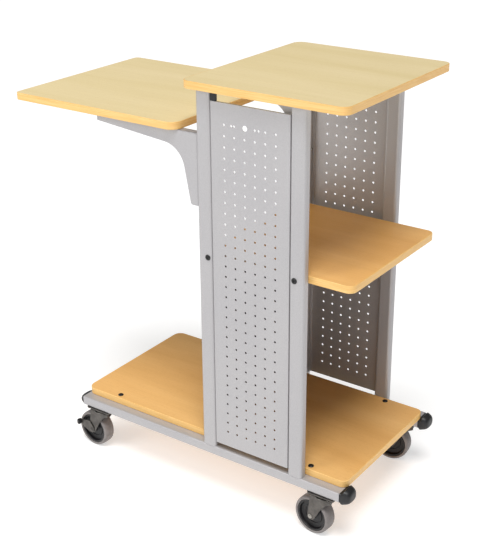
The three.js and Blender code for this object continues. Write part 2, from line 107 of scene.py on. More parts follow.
def add_studio():
    world = bpy.data.worlds.new("studio")
    world.use_nodes = True
    world.node_tree.nodes["Background"].inputs["Color"].default_value = (1, 1, 1, 1)
    world.node_tree.nodes["Background"].inputs["Strength"].default_value = WORLD_STRENGTH
    bpy.context.scene.world = world
    for light in LIGHTS:
        add_light(*light)
    scene = bpy.context.scene
    scene.view_settings.view_transform = "Standard"
    scene.view_settings.look = "None"

    mesh = bpy.data.meshes.new("floor")
    signs = [(-1, -1), (1, -1), (1, 1), (-1, 1)]
    corners = [(x * FLOOR_REACH, y * FLOOR_REACH, 0) for x, y in signs]
    mesh.from_pydata(corners, [], [(0, 1, 2, 3)])
    floor = bpy.data.objects.new("floor", mesh)
    bpy.context.scene.collection.objects.link(floor)
    mesh.materials.append(floor_material())


# ---- node helpers ---------------------------------------------------------


def linear(code):
    """A linear colour from a six-digit sRGB code."""
    values = [int(code[i : i + 2], 16) / 255 for i in (0, 2, 4)]
    return [v / 12.92 if v <= 0.04045 else ((v + 0.055) / 1.055) ** 2.4 for v in values] + [1]


def add_node(tree, kind, inputs=(), **settings):
    """A new node with its settings, and its inputs set or linked by name or number."""
    made = tree.nodes.new(kind)
    for key, value in settings.items():
        setattr(made, key, value)
    for key, value in dict(inputs).items():
        if isinstance(value, bpy.types.NodeSocket):
            tree.links.new(value, made.inputs[key])
        else:
            made.inputs[key].default_value = value
    return made


def stretched(tree, scale):
    """The piece's own coordinates, scaled along each axis."""
    coordinates = add_node(tree, "ShaderNodeTexCoord")
    mapping = add_node(tree, "ShaderNodeMapping", {0: coordinates.outputs["Object"], 3: scale})
    return mapping.outputs[0]


def noise(tree, scale, detail=3.0, roughness=0.5, size=1.0, distortion=0.0):
    inputs = {
        "Vector": stretched(tree, scale),
        "Scale": size,
        "Detail": detail,
        "Roughness": roughness,
        "Distortion": distortion,
    }
    return add_node(tree, "ShaderNodeTexNoise", inputs).outputs[0]


def ramp(tree, factor, *stops):
    """A colour ramp through (position, colour) stops."""
    made = add_node(tree, "ShaderNodeValToRGB", {0: factor})
    elements = made.color_ramp.elements
    for _ in stops[2:]:
        elements.new(0.5)
    for element, (position, color) in zip(elements, stops):
        element.position = position
        element.color = color
    return made.outputs[0]


def blended(tree, factor, first, second, how="MIX"):
    made = add_node(tree, "ShaderNodeMix", data_type="RGBA", blend_type=how)
    for index, value in ((0, factor), (6, first), (7, second)):
        if isinstance(value, bpy.types.NodeSocket):
            tree.links.new(value, made.inputs[index])
        else:
            made.inputs[index].default_value = value
    return made.outputs[2]


def ranged(tree, factor, low, high):
    """factor from 0..1 mapped to low..high."""
    inputs = {"Value": factor, "To Min": low, "To Max": high}
    return add_node(tree, "ShaderNodeMapRange", inputs).outputs[0]


def new_material(name, color, roughness, metallic=0.0, **sockets):
    """A material with a Principled shader; returns it with its tree and shader."""
    made = bpy.data.materials.new(name)
    made.use_nodes = True
    tree = made.node_tree
    shader = tree.nodes["Principled BSDF"]
    settings = {"Base Color": color, "Roughness": roughness, "Metallic": metallic, **sockets}
    for key, value in settings.items():
        shader.inputs[key].default_value = value
    return made, tree, shader


def bumped(tree, shader, height, strength, distance, normal=None):
    """Adds height to the shader's normal."""
    inputs = {"Strength": strength, "Distance": distance, "Height": height}
    if normal is not None:
        inputs["Normal"] = normal
    made = add_node(tree, "ShaderNodeBump", inputs)
    tree.links.new(made.outputs[0], shader.inputs["Normal"])
    return made.outputs[0]


# ---- materials ------------------------------------------------------------


def floor_material():
    settings = {"Specular IOR Level": 0.1, "Emission Color": (1, 1, 1, 1)}
    settings["Emission Strength"] = FLOOR_GLOW
    return new_material("floor", linear("D2D2D2"), 0.9, **settings)[0]


def laminate_material(name, pale, deep):
    """Beech print between two tones: long soft bands, fine streaks and darker flecks along X."""
    made, tree, shader = new_material(name, linear(pale), 0.34)
    bands = noise(tree, (1.1, 9.0, 9.0), detail=4, distortion=0.6)
    tone = ramp(tree, bands, (0.3, linear(deep)), (0.7, linear(pale)))
    streaks = noise(tree, (7.0, 330.0, 330.0), detail=3, roughness=0.6)
    streaked = ramp(tree, streaks, (0.35, (0.92, 0.90, 0.87, 1)), (0.65, (1.0, 1.0, 1.0, 1)))
    color = blended(tree, 0.5, tone, streaked, "MULTIPLY")
    flecks = noise(tree, (95.0, 900.0, 900.0), detail=1)
    flecked = ramp(tree, flecks, (0.62, (1, 1, 1, 1)), (0.72, (0.82, 0.72, 0.60, 1)))
    color = blended(tree, 0.55, color, flecked, "MULTIPLY")
    tree.links.new(color, shader.inputs["Base Color"])
    rough = ranged(tree, noise(tree, (60, 60, 60), detail=2), 0.30, 0.39)
    tree.links.new(rough, shader.inputs["Roughness"])
    orange_peel = noise(tree, (900, 900, 900), detail=1)
    bumped(tree, shader, orange_peel, 0.04, 0.0004)
    return made


def edge_band_material():
    made, tree, shader = new_material("edge_band", linear("F2C277"), 0.42)
    streaks = noise(tree, (14, 14, 620), detail=2)
    tone = ramp(tree, streaks, (0.3, linear("E9B668")), (0.7, linear("F6CB84")))
    tree.links.new(tone, shader.inputs["Base Color"])
    bumped(tree, shader, streaks, 0.05, 0.0003)
    return made


def silver_material():
    """Silver powder coat: a fine orange peel over metallic grey, with faint bright flakes."""
    made, tree, shader = new_material("silver_paint", linear("B7B5B5"), 0.40, 0.3)
    flakes = noise(tree, (1500, 1500, 1500), detail=2, roughness=0.6)
    tone = ramp(tree, flakes, (0.34, linear("ABA9AA")), (0.66, linear("BFBDBE")))
    clouds = noise(tree, (6, 6, 3), detail=3)
    shade = ramp(tree, clouds, (0.35, (0.95, 0.95, 0.96, 1)), (0.65, (1.0, 1.0, 1.0, 1)))
    color = blended(tree, 1.0, tone, shade, "MULTIPLY")
    tree.links.new(color, shader.inputs["Base Color"])
    tree.links.new(ranged(tree, clouds, 0.36, 0.46), shader.inputs["Roughness"])
    peel = noise(tree, (650, 650, 650), detail=2)
    bumped(tree, shader, peel, 0.08, 0.0004)
    return made


def moulded_material(name, code, roughness, grain):
    """Moulded plastic with a fine spark-eroded grain."""
    made, tree, shader = new_material(name, linear(code), roughness)
    patches = noise(tree, (40, 40, 40), detail=3)
    tree.links.new(ranged(tree, patches, roughness - 0.06, roughness + 0.08), shader.inputs["Roughness"])
    bumped(tree, shader, noise(tree, (grain, grain, grain), detail=1), 0.12, 0.0004)
    return made


def plated_material(name, light, dark, roughness):
    """Zinc-plated pressed steel: cloudy, with fine drawn scratches."""
    made, tree, shader = new_material(name, linear(light), roughness, 0.85)
    clouds = noise(tree, (55, 55, 55), detail=4, roughness=0.6)
    tone = ramp(tree, clouds, (0.3, linear(dark)), (0.7, linear(light)))
    tree.links.new(tone, shader.inputs["Base Color"])
    scratches = noise(tree, (1500, 1500, 120), detail=2)
    tree.links.new(ranged(tree, scratches, roughness - 0.08, roughness + 0.1), shader.inputs["Roughness"])
    bumped(tree, shader, scratches, 0.05, 0.0003)
    return made


def rubber_material():
    """Grey non-marking rubber, cloudy and a little darker in tone, with a fine scuffed grain all over."""
    made, tree, shader = new_material("grey_rubber", linear("8E8886"), 0.6)
    clouds = noise(tree, (70, 70, 70), detail=4, roughness=0.6)
    tone = ramp(tree, clouds, (0.3, linear("746E6C")), (0.7, linear("8C8684")))
    tree.links.new(tone, shader.inputs["Base Color"])
    bumped(tree, shader, noise(tree, (1100, 1100, 1100), detail=2), 0.15, 0.0004)
    return made


MATERIALS = {
    # One laminate print in two copies: the upper boards' paler, yellower tint is painted sheen, and the
    # lower boards' deeper orange tint is painted shade.
    "laminate": laminate_material("laminate", "F6E2B0", "EDD8A0"),
    "laminate_painted_deeper": laminate_material("laminate_painted_deeper", "F0BE78", "E3AC64"),
    "edge_band": edge_band_material(),
    "silver_paint": silver_material(),
    "black_plastic": moulded_material("black_plastic", "18191B", 0.42, 1400),
    "hub_plastic": moulded_material("hub_plastic", "151315", 0.42, 1400),
    "dark_steel": plated_material("dark_steel", "6C6864", "504D4A", 0.36),
    "bright_steel": plated_material("bright_steel", "AEAAA3", "8D8982", 0.28),
    "black_steel": moulded_material("black_steel", "161617", 0.36, 1800),
    "grey_rubber": rubber_material(),
}

# ---- shapes ---------------------------------------------------------------


def rounded_outline(corners, steps=6):
    """Points round a polygon of (x, y, radius) corners, with an arc at each radius."""
    points = []
    for i, corner in enumerate(corners):
        here = Vector(corner[:2])
        radius = corner[2] if len(corner) > 2 else 0
        if radius == 0:
            points.append(tuple(here))
            continue
        before = (Vector(corners[i - 1][:2]) - here).normalized()
        after = (Vector(corners[(i + 1) % len(corners)][:2]) - here).normalized()
        half = before.angle(after) / 2
        centre = here + (before + after).normalized() * radius / math.sin(half)
        start = here + before * radius / math.tan(half) - centre
        turn = math.pi - 2 * half
        sign = 1 if start.x * (here - centre).y - start.y * (here - centre).x > 0 else -1
        for step in range(steps + 1):
            angle = sign * turn * step / steps
            spun = Matrix.Rotation(angle, 2) @ start
            points.append(tuple(centre + spun))
    return points


def rounded_loop(width, depth, radii, steps=8):
    """Points round a rectangle centred on 0, with a radius for each corner in turn."""
    if isinstance(radii, float):
        radii = [radii] * 4
    x, y = width / 2, depth / 2
    places = [(-x, -y), (x, -y), (x, y), (-x, y)]
    return rounded_outline([(*place, radius) for place, radius in zip(places, radii)], steps)


def circle_loop(radius, x=0.0, y=0.0, steps=16, start=0.0):
    turns = [start + 2 * math.pi * i / steps for i in range(steps)]
    return [(x + radius * math.cos(a), y + radius * math.sin(a)) for a in turns]


def level(loop, z):
    return [(x, y, z) for x, y in loop]


def tidy(bm):
    """The bmesh as a mesh, with doubled points merged and faces turned outwards."""
    bmesh.ops.remove_doubles(bm, verts=bm.verts, dist=2e-7)
    bmesh.ops.dissolve_degenerate(bm, edges=bm.edges, dist=1e-8)
    bmesh.ops.recalc_face_normals(bm, faces=bm.faces)
    mesh = bpy.data.meshes.new("shape")
    bm.to_mesh(mesh)
    bm.free()
    return mesh


def skin(loops, closed=False):
    """A mesh through loops of points, each joined to the next, capped or closed on itself."""
    bm = bmesh.new()
    rows = [[bm.verts.new(point) for point in loop] for loop in loops]
    pairs = list(zip(rows, rows[1:]))
    if closed:
        pairs.append((rows[-1], rows[0]))
    for first, second in pairs:
        for i in range(len(first)):
            j = (i + 1) % len(first)
            bm.faces.new((first[i], first[j], second[j], second[i]))
    if not closed:
        bm.faces.new(reversed(rows[0]))
        bm.faces.new(rows[-1])
    return tidy(bm)


def lathe(profile, steps=48, closed=False):
    """A mesh turned about Z from (radius, height) points."""
    smallest = 1e-8
    loops = [level(circle_loop(max(r, smallest), steps=steps), z) for r, z in profile]
    return skin(loops, closed)


def plate(outline, thickness, edge, holes=()):
    """A sheet cut to an outline in XY, centred on z = 0, with softly rounded edges."""
    curve = bpy.data.curves.new("plate", "CURVE")
    curve.dimensions = "2D"
    curve.fill_mode = "BOTH"
    curve.extrude = thickness / 2 - edge
    curve.bevel_depth = edge
    curve.bevel_resolution = 1
    curve.offset = -edge
    for loop in (outline, *holes):
        spline = curve.splines.new("POLY")
        spline.points.add(len(loop) - 1)
        for point, (x, y) in zip(spline.points, loop):
            point.co = (x, y, 0, 1)
        spline.use_cyclic_u = True
    holder = bpy.data.objects.new("plate", curve)
    filled = bpy.data.meshes.new_from_object(holder)
    bpy.data.objects.remove(holder)
    bm = bmesh.new()
    bm.from_mesh(filled)
    return tidy(bm)


def moved(mesh, *matrices):
    """The mesh after each matrix in turn."""
    for matrix in matrices:
        mesh.transform(matrix)
        if matrix.determinant() < 0:
            mesh.flip_normals()
    return mesh


def shift(x=0.0, y=0.0, z=0.0):
    return Matrix.Translation((x, y, z))


# Turns a shape drawn in XY so that it stands in XZ, facing -Y, or in YZ, facing +X.
STAND_XZ = Matrix.Rotation(math.pi / 2, 4, "X")
STAND_YZ = Matrix.Rotation(math.pi / 2, 4, "Z") @ STAND_XZ
MIRROR_Y = Matrix.Scale(-1, 4, (0, 1, 0))


def add_piece(name, meshes, slot, body=ROOT, stands_for=(), finish=None, crease=32):
    """One piece made of meshes, with a slot's finish or a variant of it, riding on a body."""
    bm = bmesh.new()
    for mesh in meshes:
        bm.from_mesh(mesh)
    joined = bpy.data.meshes.new(name)
    bm.to_mesh(joined)
    bm.free()
    joined.shade_smooth()
    joined.set_sharp_from_angle(angle=math.radians(crease))
    joined.materials.append(MATERIALS[finish or slot])
    piece = bpy.data.objects.new(name, joined)
    bpy.context.scene.collection.objects.link(piece)
    piece.modifiers.new("flat faces stay flat", "WEIGHTED_NORMAL").keep_sharp = True
    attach(piece, body)
    if stands_for:
        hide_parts(*stands_for)
    return piece


def side_of(name):
    """-1 for a near piece and 1 for a far one."""
    return -1 if "near" in name else 1


# ---- boards ---------------------------------------------------------------

EDGE_BAND = 2 * MM
EDGE_ROUND = 1.2 * MM
CORE_GAP = 0.1 * MM  # between a board's core and its band
LOWER_BOARDS = ("base_board", "middle_shelf")
CORNERS = {  # radii at near left, near right, far right, far left
    "base_board": [24 * MM, 19 * MM, 19 * MM, 24 * MM],
    "middle_shelf": [28 * MM, 20 * MM, 20 * MM, 28 * MM],
    "side_shelf": [14 * MM, 30 * MM, 30 * MM, 14 * MM],
    "lectern_top": [24 * MM] * 4,
}


def add_board(name):
    """The laminated core and, round it, a band with softened arrises."""
    low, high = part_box(f"{name}_edge")
    middle = (low + high) / 2
    width, depth = high.x - low.x, high.y - low.y

    def loop(inset, z):
        radii = [radius - inset for radius in CORNERS[name]]
        points = rounded_loop(width - 2 * inset, depth - 2 * inset, radii)
        return [(x + middle.x, y + middle.y, z) for x, y in points]

    inset = EDGE_BAND + CORE_GAP
    core = skin([loop(inset, low.z), loop(inset, high.z)])
    # the lower boards take the copy painted deeper as shade, the upper boards the copy painted paler as
    # sheen
    finish = "laminate_painted_deeper" if name in LOWER_BOARDS else "laminate"
    add_piece(f"{name}_laminate", [core], "laminate", stands_for=[name], finish=finish)
    arc = [math.radians(90 * step / 4) for step in range(5)]
    arris = [(EDGE_ROUND * (1 - math.sin(a)), EDGE_ROUND * (1 - math.cos(a))) for a in arc]
    section = [(inset, low.z + rise) for inset, rise in arris]
    section += [(inset, high.z - rise) for inset, rise in reversed(arris)]
    section = [(EDGE_BAND, low.z), *section, (EDGE_BAND, high.z)]
    band = skin([loop(inset, z) for inset, z in section], closed=True)
    add_piece(f"{name}_band", [band], "edge_band", stands_for=[f"{name}_edge"])


# ---- steel frame ----------------------------------------------------------

POST_RADIUS = 8 * MM
RAIL_RADIUS = 3.5 * MM
TUBE_WALL = 2 * MM


def tube(width, depth, radius, start, end):
    """A rectangular tube along Z, open at its ends."""
    outside = rounded_loop(width, depth, radius, 6)
    inner = [width - 2 * TUBE_WALL, depth - 2 * TUBE_WALL]
    inside = rounded_loop(*inner, max(radius - TUBE_WALL, 1 * MM), 6)
    loops = [level(outside, start), level(outside, end), level(inside, end), level(inside, start)]
    return skin(loops, closed=True)


def add_posts():
    for side in ("left", "right"):
        for depth in ("near", "far"):
            node = f"post_{side}_{depth}"
            low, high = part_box(node)
            middle = (low + high) / 2
            shape = tube(high.x - low.x, high.y - low.y, POST_RADIUS, low.z, high.z)
            moved(shape, shift(middle.x, middle.y))
            add_piece(f"{node}_tube", [shape], "silver_paint", stands_for=[node])


def add_rails():
    for depth in ("near", "far"):
        low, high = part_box(f"rail_{depth}")
        middle = (low + high) / 2
        half = (high.x - low.x) / 2
        # Drawn with its height along X, so that it lies down along X when turned.
        shape = tube(high.z - low.z, high.y - low.y, RAIL_RADIUS, -half, half)
        moved(shape, Matrix.Rotation(math.pi / 2, 4, "Y"), Matrix.Translation(middle))
        add_piece(f"rail_{depth}_tube", [shape], "silver_paint", stands_for=[f"rail_{depth}"])


# ---- rail caps ------------------------------------------------------------

CAP_GAP = 0.4 * MM
CAP_PLUG = 22 * MM
CAP_SLACK = 2.8 * MM
CAP_SHOULDER = 4 * MM  # on top, the right-hand noses swell only past the base board
CAP_RAMP = 6 * MM
CAP_TRIM = 1 * MM
CAP_NARROWS = 0.42  # how fast the nose closes in across and up and down; less is blunter
CAP_LOWERS = 0.55
CAP_STEPS = 20  # sections along the nose
CAP_LAST_TURN = 89.5  # degrees; the nose ends in a small flat, not in a point
CAP_SWELL = {"left": 0, "right": 9 * MM}


def eased(out, start):
    """0 up to start, then smoothly up to 1 over the ramp."""
    part = min(max((out - start) / CAP_RAMP, 0), 1)
    return part * part * (3 - 2 * part)


def cap_loop(turn, reach, half_width, half_height, swell, steps=48):
    """A section of the nose: square like the rail at turn 0, and rounder towards its tip."""
    out = reach * math.sin(turn)
    across = half_width * math.cos(turn) ** CAP_NARROWS
    shrink = math.cos(turn) ** CAP_LOWERS
    upper = (half_height + swell * eased(out, CAP_SHOULDER)) * shrink
    lower = (half_height + swell * eased(out, 0)) * shrink
    squareness = 2.7 + 4 * math.exp(-5 * turn)
    power = 2 / squareness
    points = []
    for i in range(steps):
        angle = 2 * math.pi * i / steps
        y = math.copysign(abs(math.cos(angle)) ** power, math.cos(angle))
        z = math.copysign(abs(math.sin(angle)) ** power, math.sin(angle))
        points.append((out, across * y, (upper if z > 0 else lower) * z))
    return points


def add_rail_caps():
    """A bumper on each rail end with a plug inside the tube; the right ones are swollen."""
    for name in ENDS:
        low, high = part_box(f"rail_cap_{name}")
        rail_low, rail_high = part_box(f"rail_{name.split('_')[0]}")
        middle = (rail_low + rail_high) / 2
        end = -1 if "left" in name else 1
        face = rail_high.x if end > 0 else rail_low.x
        reach = abs((high.x if end > 0 else low.x) - face) - CAP_GAP - CAP_TRIM
        half_width = (rail_high.y - rail_low.y) / 2
        half_height = (rail_high.z - rail_low.z) / 2
        swell = CAP_SWELL[name.split("_")[1]]
        turns = [math.radians(CAP_LAST_TURN * i / CAP_STEPS) for i in range(CAP_STEPS + 1)]
        nose = skin([cap_loop(turn, reach, half_width, half_height, swell) for turn in turns])
        moved(nose, shift(z=middle.z))
        section = rounded_loop(CAP_PLUG, 2 * (half_width - CAP_SLACK), 1.5 * MM, 3)
        heights = (rail_low.z + CAP_SLACK, rail_high.z - CAP_SLACK)
        plug = moved(skin([level(section, z) for z in heights]), shift(x=-CAP_PLUG / 2))
        mirror = Matrix.Scale(end, 4, (1, 0, 0))
        place = shift(face + end * CAP_GAP, middle.y)
        shapes = [moved(shape, mirror, place) for shape in (nose, plug)]
        add_piece(f"bumper_{name}", shapes, "black_plastic", stands_for=[f"rail_cap_{name}"])


# ---- perforated panels ----------------------------------------------------

HOLE_COLUMNS = 6
HOLE_ROWS = 31
HOLE_PITCH_X = 28.75 * MM
HOLE_PITCH_Z = 27.33 * MM
HOLE_RADIUS = 2.9 * MM
HOLE_ABOVE_BASE = 39.8 * MM
HOLE_TURN_ROW = 0.037  # radians from one row's outlines to the next's
HOLE_TURN_COLUMN = 0.071
HOLE_SIDES = 14
BOARD_GAP = 0.3 * MM  # under the base board
PANEL_LIP = 6 * MM
LARGE_HOLE_X = -13 * MM
LARGE_HOLE_RADIUS = 7 * MM
LARGE_HOLE_SIDE = 38 * MM
SHEET = 1.2 * MM
BEND = 2.2 * MM


def panel_holes(middle_x, bottom):
    """Round holes in XZ: a regular grid, with a large hole in its top row.

    Each outline is turned a little from its neighbours', so that no three of their
    points lie in line and leave the sheet a triangle without area.
    """
    loops = []
    top = bottom + (HOLE_ROWS - 1) * HOLE_PITCH_Z
    for row in range(HOLE_ROWS):
        for column in range(HOLE_COLUMNS):
            x = middle_x + (column - (HOLE_COLUMNS - 1) / 2) * HOLE_PITCH_X
            if (row, column) != (HOLE_ROWS - 1, 2):
                start = row * HOLE_TURN_ROW + column * HOLE_TURN_COLUMN
                z = bottom + row * HOLE_PITCH_Z
                loops.append(circle_loop(HOLE_RADIUS, x, z, HOLE_SIDES, start))
    large_x = middle_x + LARGE_HOLE_X
    for side in (-1, 1):
        x = large_x + side * LARGE_HOLE_SIDE
        loops.append(circle_loop(HOLE_RADIUS, x, top, HOLE_SIDES, 0.2))
    loops.append(circle_loop(LARGE_HOLE_RADIUS, large_x, top, 2 * HOLE_SIDES))
    return loops


def folded_strip(points, thickness):
    """An open sheet profile in XY given its outer side; returns the closed outline."""
    inner = []
    for i, here in enumerate(points):
        before = Vector(points[max(i - 1, 0)])
        after = Vector(points[min(i + 1, len(points) - 1)])
        along = (after - before).normalized()
        inner.append((here[0] - along.y * thickness, here[1] + along.x * thickness))
    return points + inner[::-1]


def bend_arc(centre, radius, start, end, steps=5):
    turns = [math.radians(start + (end - start) * i / steps) for i in range(steps + 1)]
    return [(centre[0] + radius * math.cos(a), centre[1] + radius * math.sin(a)) for a in turns]


def add_panels():
    """A perforated sheet between the posts, with folded sides and a lip along its top."""
    base_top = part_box("base_board")[1].z
    for depth in ("near", "far"):
        node = f"panel_{depth}"
        low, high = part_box(node)
        front = min(abs(low.y), abs(high.y)) + (high.y - low.y)
        back = front - (high.y - low.y)
        middle = (low.x + high.x) / 2
        flat = [
            (low.x + BEND, low.z),
            (high.x - BEND, low.z),
            (high.x - BEND, high.z),
            (low.x + BEND, high.z),
        ]
        holes = panel_holes(middle, base_top - BOARD_GAP + HOLE_ABOVE_BASE)
        face = plate(flat, SHEET, 0, holes)
        moved(face, STAND_XZ, shift(y=SHEET / 2 - front))
        shapes = [face]
        for end, x in ((-1, low.x), (1, high.x)):
            # The bend and the return, drawn for the right side: +X out, -Y to the front.
            arc = bend_arc((-BEND, BEND - front), BEND, -90, 0)
            profile = folded_strip([*arc, (0, -back)], SHEET)
            strip = skin([level(profile, low.z), level(profile, high.z)])
            shapes.append(moved(strip, Matrix.Scale(end, 4, (1, 0, 0)), shift(x=x)))
        lip = rounded_loop(high.x - low.x - 2 * BEND, PANEL_LIP, 0.4 * MM, 2)
        top = skin([level(lip, high.z - SHEET), level(lip, high.z - 0.05 * MM)])
        shapes.append(moved(top, shift(middle, PANEL_LIP / 2 + SHEET - front)))
        if depth == "far":
            shapes = [moved(shape, MIRROR_Y) for shape in shapes]
        add_piece(f"{node}_perforated", shapes, "silver_paint", stands_for=[node])


# ---- brackets and gussets -------------------------------------------------

SHEET_STEEL = 2.5 * MM
BRACKET_TIP_DROP = 17 * MM
BRACKET_SWEEP = {"in": 50.5 * MM, "down": 41 * MM, "radius": 66 * MM}
BRACKET_FOOT = 23 * MM
GUSSET_TIP_DROP = 4 * MM
GUSSET_FOOT = 3 * MM


def add_side_brackets():
    """A folded bracket under the side shelf: swept web, top flange and a leg on the post."""
    for depth in ("near", "far"):
        node = f"side_bracket_{depth}"
        low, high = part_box(node)
        outer = max(abs(low.y), abs(high.y))
        inner = min(abs(low.y), abs(high.y))
        top, back, bottom, tip = high.z, high.x, low.z, low.x
        web = rounded_outline(
            [
                (tip, top),
                (tip, top - BRACKET_TIP_DROP, 2 * MM),
                (back - BRACKET_SWEEP["in"], top - BRACKET_SWEEP["down"], BRACKET_SWEEP["radius"]),
                (back - BRACKET_FOOT, bottom, 7 * MM),
                (back, bottom),
                (back, top),
            ],
            12,
        )
        stand_off = shift(y=SHEET_STEEL / 2 - outer)
        shapes = [moved(plate(web, SHEET_STEEL, 0.5 * MM), STAND_XZ, stand_off)]
        flange = rounded_loop(back - tip, outer - inner, [1 * MM, 1 * MM, 3 * MM, 3 * MM], 3)
        shelf = skin([level(flange, top - SHEET_STEEL), level(flange, top)])
        shapes.append(moved(shelf, shift((tip + back) / 2, -(outer + inner) / 2)))
        leg = rounded_loop(outer - inner, top - bottom, [1 * MM, 4 * MM, 1 * MM, 1 * MM], 3)
        strip = moved(skin([level(leg, -SHEET_STEEL), level(leg, 0)]), STAND_YZ)
        shapes.append(moved(strip, shift(back, -(outer + inner) / 2, (top + bottom) / 2)))
        if depth == "far":
            shapes = [moved(shape, MIRROR_Y) for shape in shapes]
        add_piece(f"{node}_pressed", shapes, "silver_paint", stands_for=[node])


def add_gussets():
    """A pressed triangle inside each right-hand post, with a flange under the top board."""
    for depth in ("near", "far"):
        node = f"top_gusset_{depth}"
        low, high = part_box(node)
        outer = max(abs(low.y), abs(high.y))
        inner = min(abs(low.y), abs(high.y))
        drop = high.z - low.z
        reach = high.x - low.x
        tip = (-reach, -GUSSET_TIP_DROP)
        foot = (-GUSSET_FOOT, -drop, 1 * MM)
        corners = [(-reach, 0), tip, foot, (0, -drop), (0, 0)]
        web = moved(plate(rounded_outline(corners, 4), SHEET_STEEL, 0.4 * MM), STAND_XZ)
        moved(web, shift(high.x, SHEET_STEEL / 2 - outer, high.z))
        flange = rounded_loop(reach, outer - inner, 1 * MM, 2)
        top = skin([level(flange, -SHEET_STEEL), level(flange, 0)])
        moved(top, shift(high.x - reach / 2, -(outer + inner) / 2, high.z))
        shapes = [web, top]
        if depth == "far":
            shapes = [moved(shape, MIRROR_Y) for shape in shapes]
        add_piece(f"{node}_pressed", shapes, "silver_paint", stands_for=[node])


def softened_box(low, high, edge, steps=3):
    """A block with rounded upright corners and a chamfer round its top and bottom."""
    width, depth = high.x - low.x, high.y - low.y
    loops = []
    levels = ((edge, low.z), (0, low.z + edge), (0, high.z - edge), (edge, high.z))
    for inset, z in levels:
        loop = rounded_loop(width - 2 * inset, depth - 2 * inset, 1.6 * edge - inset, steps)
        loops.append(level(loop, z))
    return moved(skin(loops), shift((low.x + high.x) / 2, (low.y + high.y) / 2))


def add_panel_catches():
    """A moulded block over each panel's top corner."""
    for depth in ("near", "far"):
        node = f"panel_catch_{depth}"
        low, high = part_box(node)
        block = softened_box(low, high, 0.8 * MM)
        add_piece(f"{node}_block", [block], "black_plastic", stands_for=[node])


def add_side_panel():
    """The plain dark sheet that closes the left side of the lower bay."""
    low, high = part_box("lower_side_panel")
    sheet = softened_box(low, high, 0.5 * MM)
    add_piece("lower_side_sheet", [sheet], "black_steel", stands_for=["lower_side_panel"])


# ---- fasteners ------------------------------------------------------------

HEAD_RISE = 2.8 * MM
SHANK_RADIUS = 3 * MM


def screw_head(radius, rise, socket, sides, steps=36):
    """A domed head on z = 0 with a recess: six sides for a hexagon, four for a cross."""

    def recess(angle):
        if sides == 6:
            part = (angle % (math.pi / 3)) - math.pi / 6
            return socket / math.cos(part)
        arm = abs(math.cos(2 * angle)) ** 3
        return socket * (0.3 + 0.7 * arm)

    turns = [2 * math.pi * i / steps for i in range(steps)]
    profile = [(radius, 0), (radius, rise * 0.25), (radius * 0.93, rise * 0.55)]
    profile += [(radius * 0.75, rise * 0.85), (radius * 0.55, rise)]
    loops = [level(circle_loop(r, steps=steps), z) for r, z in profile]
    for shrink, z in ((1, rise), (0.96, rise * 0.35)):
        reach = [shrink * recess(a) for a in turns]
        loops.append([(r * math.cos(a), r * math.sin(a), z) for r, a in zip(reach, turns)])
    return skin(loops)


def shank(radius, length, tip=0.6 * MM):
    """A plain shank below z = 0 with a chamfered tip."""
    return lathe([(0, -length), (radius - tip, -length), (radius, tip - length), (radius, 0), (0, 0)], 20)


def fastener(node, axis, slot, sides, extra=()):
    """A screw in place of its CAD node, pointing along an axis from that node's box."""
    low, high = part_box(node)
    size = high - low
    middle = (low + high) / 2
    direction = Vector(axis)
    length = abs(size.dot(direction))
    tip = middle + direction * length / 2
    radius = max(size[i] for i in range(3) if axis[i] == 0) / 2
    shapes = [screw_head(radius, HEAD_RISE, 0.36 * radius if sides == 6 else 0.55 * radius, sides)]
    shapes.append(shank(SHANK_RADIUS, length - HEAD_RISE - 0.1 * MM))
    shapes += extra
    turn = Vector((0, 0, 1)).rotation_difference(direction).to_matrix().to_4x4()
    seat = Matrix.Translation(tip - direction * HEAD_RISE)
    shapes = [moved(shape, turn, seat) for shape in shapes]
    add_piece(f"{node}_fitted", shapes, slot, stands_for=[node])


def hex_nut(across, height, bore):
    """A six-sided nut with chamfered corners, from z = 0 down."""
    loops = []
    for shrink, z in ((0.93, 0), (1, -0.12 * height), (1, -0.88 * height), (0.93, -height)):
        loops.append(level(circle_loop(across / math.sqrt(3) * shrink, steps=6), z))
    for z in (-height, 0):
        loops.append(level(circle_loop(bore, steps=6), z))
    return skin(loops, closed=True)


def add_fasteners():
    for name in ENDS:
        fastener(f"base_bolt_{name}", (0, 0, 1), "black_steel", 6)
        fastener(f"middle_shelf_screw_{name}", (0, side_of(name), 0), "black_steel", 4)
    for depth in ("near", "far"):
        node = f"side_bracket_bolt_{depth}"
        head_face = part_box(node)[0].x + HEAD_RISE
        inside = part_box(f"post_left_{depth}")[1].x
        nut = hex_nut(6.6 * MM, 3 * MM, 1.02 * SHANK_RADIUS)
        moved(nut, shift(z=head_face - inside - 0.2 * MM))
        fastener(node, (-1, 0, 0), "bright_steel", 6, [nut])


# ---- casters --------------------------------------------------------------

WHEEL_RADIUS = 52 * MM
WHEEL_HALF = 17.5 * MM
HUB_RADIUS = 43 * MM
AXLE_RADIUS = 4 * MM
AXLE_HEAD = 6 * MM
FORK_INSIDE = 18.7 * MM
FORK_SHEET = 2.5 * MM
FORK_FRONT = 34 * MM
EYE = 9 * MM
TRAIL = 31 * MM
LEVER_SHEET = 2.5 * MM
LEVER_GAP = 0.3 * MM
PLATE_SHEET = 3 * MM
PLATE_CORNER = 8 * MM
PLATE_NUT_INSET = 7 * MM
BESIDE_FORK = FORK_INSIDE + FORK_SHEET + LEVER_GAP
PEDAL = {"x": -75 * MM, "z": 65 * MM, "length": 9 * MM, "height": 15 * MM, "width": 9 * MM}


def wheel_to_place(mesh, place):
    """A shape turned about Z, laid over so that it turns about the axle."""
    return moved(mesh, STAND_XZ, shift(-TRAIL, 0, WHEEL_RADIUS), place)


def mirrored_profile(half):
    """A (radius, height) profile and its mirror image below height 0, as one closed run."""
    return half + [(radius, -height) for radius, height in reversed(half)]


